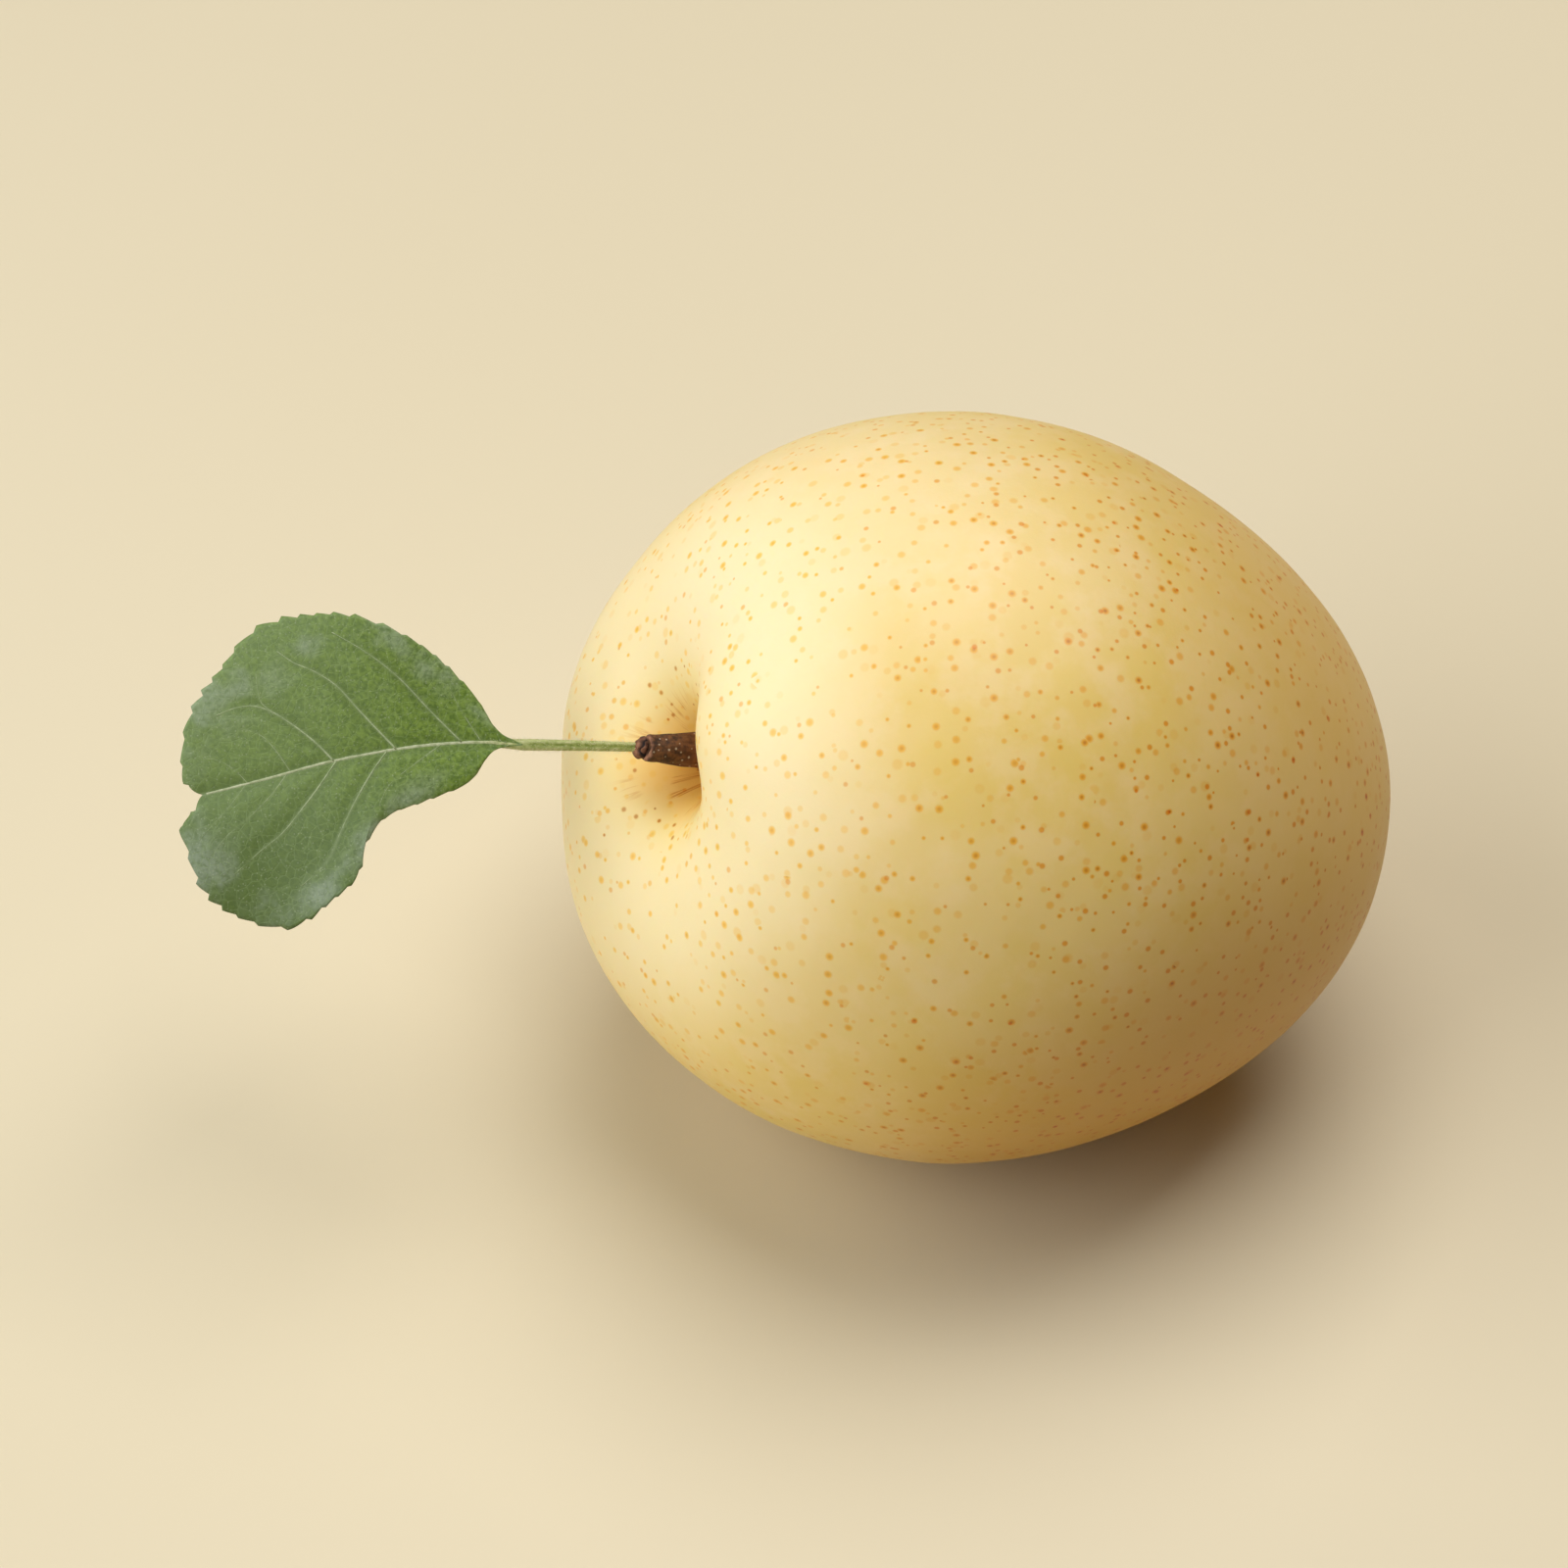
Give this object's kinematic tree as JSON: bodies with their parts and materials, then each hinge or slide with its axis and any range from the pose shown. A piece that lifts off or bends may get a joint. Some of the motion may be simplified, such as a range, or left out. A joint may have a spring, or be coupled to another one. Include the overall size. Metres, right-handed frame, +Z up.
{
  "type": "nashi pear",
  "caption": "Whole pale yellow nashi pear lying on its side, with a stem cavity, a short woody stem and a green saw-edged leaf; rests on a small flat spot.",
  "frame": {"origin": "middle of the flat spot that the fruit rests on", "axes": "+Z up; -X towards the stem and the leaf; -Y to the front, the side that the picture shows"},
  "size_m": [0.1367, 0.0867, 0.0851],
  "materials": {
    "skin": "satin waxy fruit skin, pale yellow with fine orange-brown dots",
    "bark": "rough dark brown bark, paler at the broken end",
    "leaf": "dull green leaf with pale veins"
  },
  "bodies": {
    "root": {"fruit": "skin", "stem": "bark", "leaf": "leaf"}
  },
  "joints": []
}
